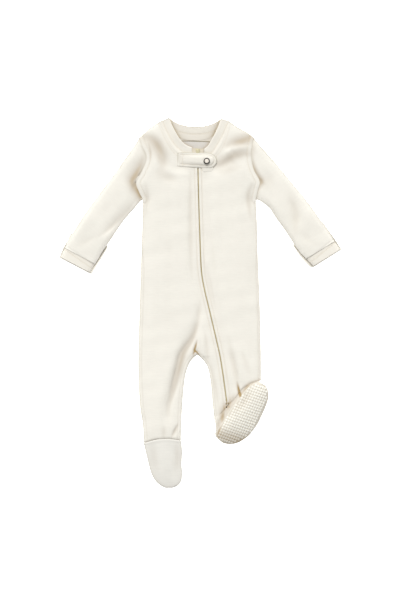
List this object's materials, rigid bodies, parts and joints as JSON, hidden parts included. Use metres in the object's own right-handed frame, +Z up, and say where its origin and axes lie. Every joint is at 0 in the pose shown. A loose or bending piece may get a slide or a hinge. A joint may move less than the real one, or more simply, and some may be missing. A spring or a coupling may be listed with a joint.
{
  "type": "baby footed sleepsuit",
  "caption": "Long-sleeved footed baby sleepsuit in natural cotton knit, zipped from the neck to an ankle under a snapped neck tab, lying flat with the right foot turned sole up.",
  "frame": {"origin": "centre of the bounding box on the surface that the garment lies on", "axes": "+Y from the feet to the neck, +X to the right as seen from above, +Z up off the surface"},
  "size_m": [0.4371, 0.5734, 0.0165],
  "materials": {
    "cotton": "matt interlock knit",
    "rib": "matt fine rib",
    "sole_knit": "matt knit with a grid of small grip dots",
    "tape": "woven zip tape",
    "coil": "nylon coil",
    "label": "satin ribbon, blank",
    "slider": "pale enamel",
    "snap_metal": "darkened metal ring"
  },
  "bodies": {
    "root": {"back": "cotton", "front_left": "cotton", "front_right": "cotton", "neckband_left": "rib", "neckband_back": "rib", "neckband_right": "rib", "label": "label", "zip_tape_left": "tape", "zip_tape_right": "tape", "zip_coil": "coil", "zip_stop": "slider", "zip_slider": "slider", "zip_pull": "slider", "snap_tab": "cotton", "tab_patch": "cotton", "snap_ring": "snap_metal", "snap_stud": "snap_metal", "sleeve_left": "cotton", "cuff_left": "rib", "mitt_left": "cotton", "sleeve_right": "cotton", "cuff_right": "rib", "mitt_right": "cotton", "foot_left_upper": "cotton", "sole_left": "sole_knit", "foot_right_upper": "cotton", "sole_right": "sole_knit"}
  },
  "joints": []
}
